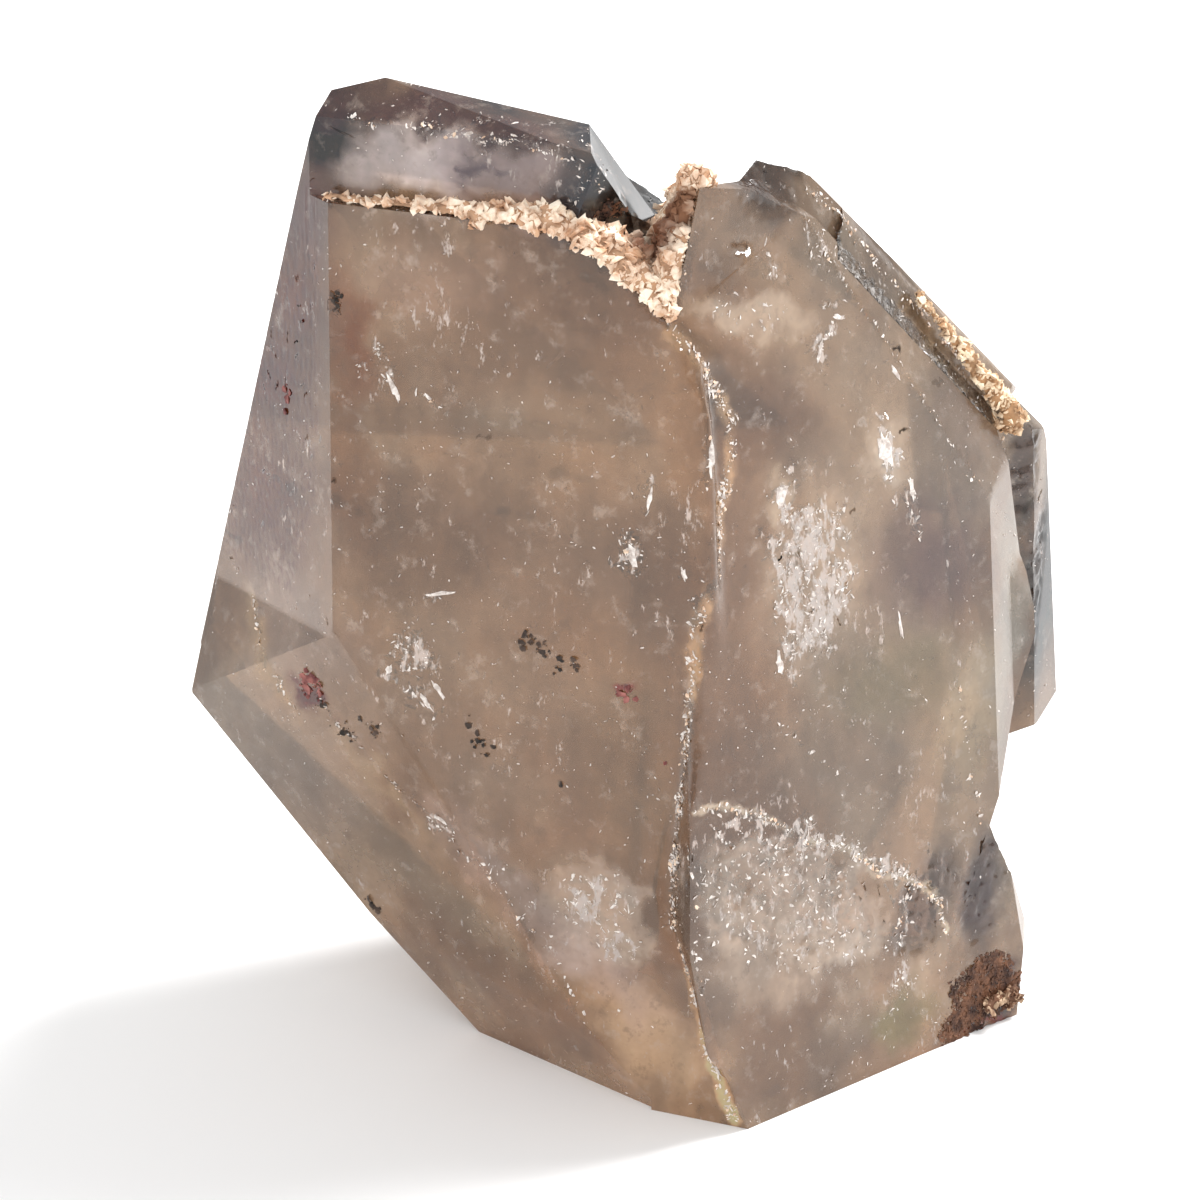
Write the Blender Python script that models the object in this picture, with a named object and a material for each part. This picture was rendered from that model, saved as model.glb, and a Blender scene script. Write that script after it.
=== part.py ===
import math
import random

import bmesh
import bpy
from mathutils import Matrix, Vector

# Amethyst smoky quartz freeform: intergrown crystals ground flat on the base, with rough crusts.
# Everything is cut in millimetres and the finished pieces are scaled to metres.
# A facet is (azimuth, tilt, distance): azimuth 0 looks to the front, positive to the right,
# tilt is up from the horizon, distance is from the front foot corner of the stone.

# driving dimensions
touchGap = 0.3
sunk = 0.02
baseCut = 0.2
roughBlock = 400.0

# facets shared by several crystals
base = (0.0, -90.0, 0.0)
leftFront = (-21.0, 3.3, 0.0)
rightFront = (38.2, 7.8, 0.0)
rightFrontSunk = (38.2, 7.8, -0.3)
leftFlank = (-56.1, 2.4, 25.4)
flankFlare = (-57.4, 19.7, 38.1)
lowerLeft = (-40.4, -17.5, 2.7)
lowerLeftBevel = (-39.1, -9.8, 3.4)
leftOutline = (-111.3, 17.5, 74.1)
footOutline = (-119.7, 2.4, 67.4)
underLeft = (-127.0, -46.5, 22.6)
stoneBack = (180.0, 8.0, 50.0)
backLeft = (-150.0, 6.0, 68.0)

leftCrystal = (
    leftFront, rightFrontSunk, leftFlank, lowerLeft, lowerLeftBevel, leftOutline, underLeft, base,
    (170.4, 87.1, 89.4), (81.4, 64.2, 70.9), (86.6, 52.9, 59.9),
    (95.0, 0.0, 14.0), stoneBack, backLeft,
)
footCrystal = (
    leftFront, rightFrontSunk, flankFlare, lowerLeft, lowerLeftBevel, footOutline, underLeft, base,
    (0.0, 90.0, 50.0), (80.0, 0.0, 8.0), stoneBack, backLeft,
)
crownFront = (-21.0, 3.3, -2.0)
crownCrystal = (
    crownFront, leftFlank, leftOutline,
    (-21.4, 50.0, 69.2), (20.5, 78.3, 90.3), (84.2, 27.7, 29.9), (69.0, 0.1, -16.4),
    (21.9, -11.4, -36.6), (150.9, 54.5, 84.5), (-161.6, 55.5, 102.2), (148.6, 34.9, 62.5),
    (180.0, 22.0, 72.0), (0.0, -90.0, -60.0),
)
rightCrystal = (
    rightFront, leftFront, base, (-90.0, 0.0, 9.5), (59.1, 19.8, 24.4), (63.9, 6.2, 15.0),
    (119.5, -27.4, 19.6), (129.8, -1.4, 43.7), (-82.5, 14.3, 26.7), (89.1, 73.2, 87.8),
    (86.0, 52.6, 72.1), (136.2, 43.1, 73.5), (-142.7, 61.4, 88.1), stoneBack, (150.0, 8.0, 50.0),
)
knobCrystal = (
    (45.0, 22.4, 22.4), (57.5, 22.1, 26.2), (-106.3, 34.3, 57.4), (163.5, 62.7, 92.1),
    (120.2, 44.5, 75.5), (38.2, 7.8, -2.0), (0.0, -90.0, -60.0), (165.0, 14.0, 52.0), (90.0, 0.0, 14.0),
    (-90.0, 0.0, 5.0), (0.0, 0.0, -14.0),
)
upperBackCrystal = (
    (59.1, 19.8, 25.2), (-101.6, -32.2, -47.9), (78.0, 33.4, 50.2), (120.0, 44.3, 75.3),
    (78.0, -35.9, -21.7), (165.0, 14.0, 60.0), (0.0, -90.0, -30.0), (-90.0, 0.0, -8.5),
)
backCrystal = (
    (38.2, 7.8, -2.0), (59.1, 19.8, 22.0), (78.0, 33.4, 48.0), (-106.3, 34.3, 57.4),
    (163.5, 62.7, 90.0), (120.2, 44.5, 74.0), (129.8, -1.4, 43.0), (119.5, -27.4, 19.6),
    (172.0, 14.0, 53.0), (150.0, 8.0, 50.0), (0.0, 0.0, -14.0), (-90.0, 0.0, 4.0), base,
)
flankCrystal = (
    (61.1, 2.1, 7.9), (10.0, 0.4, -35.8), (106.0, 18.6, 58.0), (82.3, 46.9, 58.4),
    (54.0, -67.0, -21.8), (77.3, -41.3, 0.3), (112.0, 0.0, 49.5), (160.0, 6.0, 58.5),
    (-90.0, 0.0, -16.0), (0.0, 90.0, 62.0),
)
cornerCrystal = (
    rightFront, base, (76.6, 10.5, 23.7), (84.3, -3.4, 26.2), (125.0, 24.0, 40.0),
    (160.0, 20.0, 40.0), (-90.0, 0.0, -8.0), (0.0, 90.0, 25.0),
)

# ridge between the two front faces: bulges right in the upper half, left in the lower half
notchFloor = Vector((-7.9, 8.0, 81.3))
ridgeMiddle = Vector((-5.1, 5.2, 52.8))
upperRidge = (notchFloor, Vector((-2.1, 5.3, 73.0)), Vector((2.0, 13.4, 67.8)), ridgeMiddle,
              Vector((-1.2, 6.8, 44.6)), Vector((-4.0, 16.0, 66.0)))
lowerRidge = (ridgeMiddle, Vector((-6.0, 1.5, 35.6)), Vector((-5.9, -1.2, 20.0)),
              Vector((-4.1, -1.5, 9.5)), Vector((0.0, 0.0, 0.2)), Vector((-8.2, 4.6, 23.2)),
              Vector((-1.0, 9.0, 20.0)))

# crust beds
ledgeStart = Vector((-40.2, 20.8, 88.8))
ledgeTurn = Vector((-19.6, 13.0, 89.1))
ledgeDip = Vector((-14.6, 10.9, 86.5))
notchTop = Vector((-5.4, 12.1, 93.3))
notchRun = Vector((-0.1, 1.0, 0.12))
creviceStart = Vector((15.8, 29.4, 76.0))
creviceEnd = Vector((26.0, 35.9, 60.9))
cornerDruse = Vector((26.9, 23.1, 2.6))


def facetNormal(azimuth, tilt):
    turn = math.radians(azimuth)
    rise = math.radians(tilt)
    return Vector((math.cos(rise) * math.sin(turn), -math.cos(rise) * math.cos(turn), math.sin(rise)))


def makeObject(name, bm, material):
    bmesh.ops.recalc_face_normals(bm, faces=bm.faces[:])
    mesh = bpy.data.meshes.new(name)
    bm.to_mesh(mesh)
    bm.free()
    body = bpy.data.objects.new(name, mesh)
    bpy.context.scene.collection.objects.link(body)
    if material:
        mesh.materials.append(material)
    return body


def makeMaterial(name, colour, roughness):
    material = bpy.data.materials.new(name)
    material.use_nodes = True
    shader = material.node_tree.nodes["Principled BSDF"]
    shader.inputs["Base Color"].default_value = (*colour, 1.0)
    shader.inputs["Roughness"].default_value = roughness
    shader.inputs["Metallic"].default_value = 0.0
    return material


def groundCrystal(name, facets, grow=0.0):
    """Cut a block down to one convex crystal, a facet at a time."""
    bm = bmesh.new()
    bmesh.ops.create_cube(bm, size=roughBlock)
    for azimuth, tilt, distance in facets:
        normal = facetNormal(azimuth, tilt)
        everything = bm.verts[:] + bm.edges[:] + bm.faces[:]
        cut = bmesh.ops.bisect_plane(bm, geom=everything, dist=0.001, plane_no=normal,
                                     plane_co=normal * (distance + grow), clear_outer=True)
        rim = [item for item in cut["geom_cut"] if isinstance(item, bmesh.types.BMEdge)]
        if rim:
            bmesh.ops.contextual_create(bm, geom=rim)
    bmesh.ops.remove_doubles(bm, verts=bm.verts[:], dist=0.005)
    bmesh.ops.triangulate(bm, faces=bm.faces[:])
    return makeObject(name, bm, None)


def hullSolid(name, corners, grow=0.0):
    """One convex lump through its corner points."""
    bm = bmesh.new()
    middle = sum(corners, Vector()) / len(corners)
    for corner in corners:
        away = (corner - middle).normalized() * grow
        bm.verts.new(corner + away)
    bmesh.ops.convex_hull(bm, input=bm.verts[:])
    bmesh.ops.triangulate(bm, faces=bm.faces[:])
    return makeObject(name, bm, None)


def applyBoolean(body, cutter, operation):
    modifier = body.modifiers.new("join", "BOOLEAN")
    modifier.operation = operation
    modifier.solver = "EXACT"
    modifier.use_hole_tolerant = True
    modifier.object = cutter
    cutter.hide_render = True
    cutter.display_type = "WIRE"
    depsgraph = bpy.context.evaluated_depsgraph_get()
    result = bpy.data.meshes.new_from_object(body.evaluated_get(depsgraph))
    body.modifiers.clear()
    old = body.data
    body.data = result
    bpy.data.meshes.remove(old)
    bpy.data.objects.remove(cutter)


def flattenBase(body):
    """Grind the foot to one flat polished face."""
    bm = bmesh.new()
    bm.from_mesh(body.data)
    everything = bm.verts[:] + bm.edges[:] + bm.faces[:]
    cut = bmesh.ops.bisect_plane(bm, geom=everything, dist=0.001, plane_co=(0.0, 0.0, baseCut),
                                 plane_no=(0.0, 0.0, -1.0), clear_outer=True)
    rim = [item for item in cut["geom_cut"] if isinstance(item, bmesh.types.BMEdge)]
    bmesh.ops.contextual_create(bm, geom=rim)
    bm.to_mesh(body.data)
    bm.free()


def quartzSolid(name, grow=0.0):
    """All the intergrown crystals fused to one solid; each is sunk a hair below the one before."""
    body = groundCrystal(name, leftCrystal, grow)
    others = (footCrystal, rightCrystal, crownCrystal, knobCrystal, upperBackCrystal, backCrystal,
              flankCrystal, cornerCrystal)
    for order, facets in enumerate(others):
        applyBoolean(body, groundCrystal("crystal", facets, grow - sunk * (order + 1)), "UNION")
    for corners in (upperRidge, lowerRidge):
        applyBoolean(body, hullSolid("ridge", corners, grow + sunk / 2), "UNION")
    if not grow:
        flattenBase(body)
    return body


def tidyFaces(body, angle=0.2):
    """Join coplanar pieces left by the cuts and split the flat faces into triangles."""
    bm = bmesh.new()
    bm.from_mesh(body.data)
    bmesh.ops.remove_doubles(bm, verts=bm.verts[:], dist=0.01)
    bmesh.ops.dissolve_limit(bm, angle_limit=math.radians(angle), verts=bm.verts[:], edges=bm.edges[:])
    bmesh.ops.triangulate(bm, faces=bm.faces[:])
    bmesh.ops.recalc_face_normals(bm, faces=bm.faces[:])
    bm.to_mesh(body.data)
    bm.free()


def keepLargest(body):
    """Keep the biggest closed piece of a body and drop loose crumbs."""
    bm = bmesh.new()
    bm.from_mesh(body.data)
    bmesh.ops.remove_doubles(bm, verts=bm.verts[:], dist=0.01)
    waiting = set(bm.verts)
    pieces = []
    while waiting:
        stack = [waiting.pop()]
        piece = set(stack)
        while stack:
            vertex = stack.pop()
            for edge in vertex.link_edges:
                other = edge.other_vert(vertex)
                if other not in piece:
                    piece.add(other)
                    stack.append(other)
        waiting -= piece
        pieces.append(piece)
    pieces.sort(key=len)
    loose = [vertex for piece in pieces[:-1] for vertex in piece]
    bmesh.ops.delete(bm, geom=loose, context="VERTS")
    bmesh.ops.recalc_face_normals(bm, faces=bm.faces[:])
    bm.to_mesh(body.data)
    bm.free()


def lumpyCrust(name, spots, seed, stretch=1.0):
    """A crust grown from overlapping lumps; spots are (point, radius)."""
    chance = random.Random(seed)
    body = None
    for point, radius in spots:
        bm = bmesh.new()
        bmesh.ops.create_icosphere(bm, subdivisions=1, radius=radius)
        for vertex in bm.verts:
            vertex.co *= 1.0 + chance.uniform(-0.22, 0.22)
            vertex.co.z *= stretch
        turn = Matrix.Rotation(chance.uniform(0.0, 6.28), 4, Vector((0.3, 0.5, 1.0)))
        bmesh.ops.transform(bm, matrix=turn, verts=bm.verts[:])
        bmesh.ops.translate(bm, vec=point, verts=bm.verts[:])
        lump = makeObject("lump", bm, None)
        if body is None:
            body = lump
            body.name = name
        else:
            applyBoolean(body, lump, "UNION")
    return body


def alongLine(start, end, count, radiusStart, radiusEnd):
    spots = []
    for step in range(count):
        share = step / max(1, count - 1)
        spots.append((start.lerp(end, share), radiusStart + (radiusEnd - radiusStart) * share))
    return spots


def notchSpots():
    """Thin along the ledge, thick in the notch and up its right wall."""
    ledge = Vector((0.36, 0.93, 0.0))
    spots = alongLine(ledgeStart + ledge * 0.9, ledgeTurn + ledge * 0.9, 20, 1.05, 1.5)
    for depth in (2.3, 4.8, 7.4, 10.2, 13.0):
        back = notchRun * depth
        spots += alongLine(ledgeTurn + back, ledgeDip + back, 4, 1.5, 2.0)
        spots += alongLine(ledgeDip + back, notchFloor + back, 6, 2.0, 2.3)
        wallTop = notchTop + back * 0.9 + Vector((0.0, 0.0, 0.4 - 0.6 * depth))
        spots += alongLine(notchFloor + back, wallTop, 6, 2.3, 1.7)
    return spots


def creviceSpots():
    outward = Vector((0.81, -0.48, 0.34))
    return alongLine(creviceStart + outward * 0.5, creviceEnd + outward * 0.7, 15, 1.0, 1.7)


def cornerSpots():
    spots = alongLine(cornerDruse, cornerDruse + Vector((0.6, 3.0, 0.1)), 3, 1.9, 1.75)
    spots += alongLine(cornerDruse + Vector((-2.2, -2.2, 0.0)), cornerDruse, 3, 1.65, 1.9)
    return spots


def buildStone():
    for item in list(bpy.data.objects):
        bpy.data.objects.remove(item)

    quartz = quartzSolid("quartz_cluster")
    tidyFaces(quartz)
    quartz.data.materials.clear()
    quartz.data.materials.append(makeMaterial("smoky_quartz", (0.30, 0.24, 0.20), 0.12))
    parts = [quartz]

    crusts = (
        ("notch_crust", notchSpots(), 5, (0.66, 0.47, 0.33)),
        ("crevice_crust", creviceSpots(), 9, (0.64, 0.44, 0.28)),
        ("corner_druse", cornerSpots(), 15, (0.50, 0.32, 0.17)),
    )
    for name, spots, seed, colour in crusts:
        crust = lumpyCrust(name, spots, seed)
        applyBoolean(crust, quartzSolid("bed", touchGap), "DIFFERENCE")
        keepLargest(crust)
        tidyFaces(crust, 1.0)
        crust.data.materials.clear()
        crust.data.materials.append(makeMaterial(name + "_mineral", colour, 0.85))
        parts.append(crust)

    corners = [vertex.co for part in parts for vertex in part.data.vertices]
    low = [min(corner[axis] for corner in corners) for axis in range(3)]
    high = [max(corner[axis] for corner in corners) for axis in range(3)]
    middle = Vector(((low[0] + high[0]) / 2, (low[1] + high[1]) / 2, baseCut))
    for part in parts:
        part.data.transform(Matrix.Scale(0.001, 4) @ Matrix.Translation(-middle))
        part.data.update()
    print("front foot corner is at", [round(-value, 3) for value in middle], "mm")


buildStone()
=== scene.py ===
import itertools
import math
import random

import bmesh
import bpy
import numpy as np
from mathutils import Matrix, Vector
from mathutils.bvhtree import BVHTree


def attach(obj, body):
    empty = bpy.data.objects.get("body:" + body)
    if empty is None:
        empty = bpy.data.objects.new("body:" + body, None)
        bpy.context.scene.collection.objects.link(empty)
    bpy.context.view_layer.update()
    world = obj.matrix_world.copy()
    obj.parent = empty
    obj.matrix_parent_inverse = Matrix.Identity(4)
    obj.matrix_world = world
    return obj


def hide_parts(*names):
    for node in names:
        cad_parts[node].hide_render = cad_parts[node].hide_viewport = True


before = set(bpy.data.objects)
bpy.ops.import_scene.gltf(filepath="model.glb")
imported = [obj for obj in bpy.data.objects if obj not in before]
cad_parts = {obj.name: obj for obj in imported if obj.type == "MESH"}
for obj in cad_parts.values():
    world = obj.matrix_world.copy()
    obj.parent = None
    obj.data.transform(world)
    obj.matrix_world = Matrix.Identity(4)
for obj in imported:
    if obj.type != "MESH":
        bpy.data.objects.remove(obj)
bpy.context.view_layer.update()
print("frame loaded")

mm = 0.001
frontFoot = Vector((11.298, -26.657, -0.2))  # the foot corner that faces the viewer, in mm
faces = {  # compass turn, lean and distance from the front foot corner, in degrees and mm
    "leftFront": (-21.0, 3.3, 0.0),
    "rightFront": (38.2, 7.8, 0.0),
    "crownFront": (-21.0, 3.3, -2.06),
    "crownSlope": (-21.4, 50.0, 69.14),
    "leftFlank": (-56.1, 2.4, 25.4),
    "lowerLeft": (-40.4, -17.5, 2.7),
    "lowerBevel": (-39.1, -9.8, 3.4),
    "upperRight": (59.1, 19.8, 24.36),
    "rightSide": (63.9, 6.2, 14.96),
    "flankCrystal": (61.1, 2.1, 7.9),
    "crownRight": (86.6, 52.9, 59.9),
    "crownSide": (84.2, 27.7, 29.84),
}


def screenColour(red, green, blue):
    linear = []
    for value in (red, green, blue):
        part = value / 255.0
        linear.append(part / 12.92 if part <= 0.04045 else ((part + 0.055) / 1.055) ** 2.4)
    return np.array(linear)


def faceAxes(face):
    azimuth, tilt, distance = faces[face]
    turn, rise = math.radians(azimuth), math.radians(tilt)
    outward = Vector((math.cos(rise) * math.sin(turn), -math.cos(rise) * math.cos(turn), math.sin(rise)))
    across = Vector((math.cos(turn), math.sin(turn), 0.0))
    up = outward.cross(across) * -1.0
    if up.z < 0:
        up = -up
    return outward, across, up, distance


def facePoint(face, across, up, depth=0.0):
    outward, right, rise, distance = faceAxes(face)
    return (outward * (distance - depth) + right * across + rise * up + frontFoot) * mm


def smooth(low, high, value):
    share = np.clip((value - low) / (high - low), 0.0, 1.0)
    return share * share * (3.0 - 2.0 * share)


def inMetres(values):
    return [value * mm for value in values]


def onFaces(at, *parts):
    # a face's name holds for the rows after it, and goes into each of them at this place
    rows = []
    for part in parts:
        if isinstance(part, str):
            face = part
        else:
            rows.append((*part[:at], face, *part[at:]))
    return rows


def newObject(name, mesh):
    piece = bpy.data.objects.new(name, mesh)
    bpy.context.scene.collection.objects.link(piece)
    return piece


def meshFrom(name, bm):
    mesh = bpy.data.meshes.new(name)
    bm.to_mesh(mesh)
    bm.free()
    mesh.validate()
    return mesh


def points(mesh):
    flat = np.empty(len(mesh.vertices) * 3)
    mesh.vertices.foreach_get("co", flat)
    return flat.reshape(-1, 3)


def normals(mesh):
    flat = np.empty(len(mesh.vertices) * 3)
    mesh.vertex_normals.foreach_get("vector", flat)
    return flat.reshape(-1, 3)


def movePoints(mesh, places):
    mesh.vertices.foreach_set("co", places.astype(np.float32).ravel())
    mesh.update()


def latticeValue(cell, seed):
    # one repeatable number from 0 to 1 for each whole-number cell
    mixed = cell @ np.array([73856093, 19349663, 83492791]) + seed * 1013904223
    mixed = (mixed ^ (mixed >> 13)) * 1274126177 & 0x7FFFFFFF
    return ((mixed ^ (mixed >> 15)) & 0xFFFF) / 65535.0


def noiseAt(places, size, octaves=3, seed=0):
    # smooth noise, mostly between -1 and 1; size is the width of its lumps
    total, weight = np.zeros(len(places)), 1.0
    for octave in range(octaves):
        scaled = places / size * 2.03 ** octave + seed * 17.3 + octave * 5.7
        cell = np.floor(scaled).astype(np.int64)
        part = scaled - cell
        part = part * part * (3 - 2 * part)
        value = np.zeros(len(places))
        for corner in itertools.product((0, 1), repeat=3):
            near = np.where(corner, part, 1 - part).prod(axis=1)
            value += near * latticeValue(cell + corner, seed + octave * 7)
        total += weight * (value * 2 - 1)
        weight *= 0.58
    return total


def wander(places, size, octaves, seed):
    # a smooth random sideways shift for each point, about 1 long
    return np.stack([noiseAt(places, size, octaves, seed + axis) for axis in range(3)], axis=1)


def cellDistance(across, up, seed):
    # distance to the nearest of one jittered spot in each cell of a flat lattice
    best = np.full(len(across), 9.0)
    home = np.stack([np.floor(across), np.floor(up), np.zeros(len(across))], axis=1).astype(np.int64)
    for step in itertools.product((-1, 0, 1), repeat=2):
        cell = home + (*step, 0)
        spotAcross = cell[:, 0] + 0.15 + 0.7 * latticeValue(cell, seed)
        spotUp = cell[:, 1] + 0.15 + 0.7 * latticeValue(cell, seed + 1)
        best = np.minimum(best, np.hypot(spotAcross - across, spotUp - up))
    return best


def writeColour(mesh, name, colours):
    layer = mesh.color_attributes.new(name, "FLOAT_COLOR", "POINT")
    full = np.ones((len(mesh.vertices), 4), dtype=np.float32)
    full[:, :3] = colours
    layer.data.foreach_set("color", full.ravel())


def writeValue(mesh, name, values):
    layer = mesh.attributes.get(name) or mesh.attributes.new(name, "FLOAT", "POINT")
    layer.data.foreach_set("value", values.astype(np.float32))


def newMaterial(name, **sockets):
    material = bpy.data.materials.new(name)
    material.use_nodes = True
    tree = material.node_tree
    shader = tree.nodes["Principled BSDF"]
    for socket, value in sockets.items():
        shader.inputs[socket.replace("_", " ")].default_value = value
    return material, tree, shader


def addNode(tree, kind, inputs=(), **settings):
    node = tree.nodes.new(kind)
    for key, value in settings.items():
        setattr(node, key, value)
    for socket, value in inputs:
        if isinstance(value, bpy.types.NodeSocket):
            tree.links.new(value, node.inputs[socket])
        else:
            node.inputs[socket].default_value = value
    return node


def noiseNode(tree, place, scale, detail=4.0, roughness=0.55, distortion=0.0):
    return addNode(tree, "ShaderNodeTexNoise", [
        ("Vector", place), ("Scale", scale), ("Detail", detail), ("Roughness", roughness),
        ("Distortion", distortion)]).outputs["Fac"]


def rangeNode(tree, value, low, high, toLow=0.0, toHigh=1.0):
    return addNode(tree, "ShaderNodeMapRange", [
        ("Value", value), ("From Min", low), ("From Max", high), ("To Min", toLow), ("To Max", toHigh)],
        clamp=True).outputs["Result"]


def mixColour(tree, factor, first, second, blend="MIX"):
    node = addNode(tree, "ShaderNodeMix", data_type="RGBA", blend_type=blend)
    for socket, value in ((0, factor), (6, first), (7, second)):
        if isinstance(value, bpy.types.NodeSocket):
            tree.links.new(value, node.inputs[socket])
        else:
            node.inputs[socket].default_value = value
    return node.outputs[2]


def mathNode(tree, operation, first, second):
    return addNode(tree, "ShaderNodeMath", [(0, first), (1, second)], operation=operation).outputs[0]


# the quartz: shape, everything in mm
quartz = {
    "weld": 0.35,  # closes the hairline steps between the crystals
    "flatAngle": 1.5,  # degrees between facets that count as one
    "ridgeAngle": 9.0,  # degrees from which an edge is rounded
    "edgeRound": 0.28,
    "sharpAngle": 24.0,  # degrees from which an edge is shaded sharp
    "merge": 0.07,  # points closer than this are one
    "cell": 1.55,  # mesh sizes
    "frontCell": 1.05,
    "veilCell": 0.5,
    "seamCell": 0.5,
    "seamReach": 1.4,
    "pitCell": 0.42,
    "roughCell": 0.65,
}
flank = {  # etch pits of the left flank
    "pitDepth": 0.012,
    "pitWidth": 0.8,
    "pitHeight": 1.1,
    "streakHeight": 2.2,
    "pitsFrom": 43.0,  # heights on the face
    "streaksFrom": 58.0,
    "pitsTo": 88.0,
    "rightEnd": (-40.3, -42.5),  # none before the first, all beyond the second
    "slant": 0.15,
    "bend": 0.3,
    "bendSize": 4.0,
    "rim": (0.46, 0.16),  # from the rim of a pit to its floor
    "shade": (0.375, 0.55, 0.475),  # how much red, green and blue a pit swallows
}
# hollowShade: painted shade in the hollows of the broken patches, at most this share darker where they sink
# deepest
crags = {"size": 2.4, "fineSize": 0.9, "fineShare": 0.35, "hollowShade": 0.35}  # the broken patches
ridge = {  # where the front ridge is evened out; each pair goes from nothing to full
    "steps": 30,
    "pull": 0.6,
    "foot": ("leftFront", -6.5, 44.0),
    "head": ("leftFront", -5.0, 78.0),
    "reach": (11.0, 7.0),
    "start": (-8.0, 0.0),
    "end": (41.0, 33.0),
    "lowReach": (3.4, 1.8),
    "lowStart": (2.0, 7.0),
    "lowEnd": (60.0, 52.0),
}
levelled = {  # face: left end, right end, top end, tallest step that is laid flat
    "rightFront": ((0.0, 2.6), (16.0, 11.0), (79.0, 76.0), 6.0),
    "upperRight": ((18.0, 20.5), (99.0, 98.0), (90.0, 86.0), 1.6),
}
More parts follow.
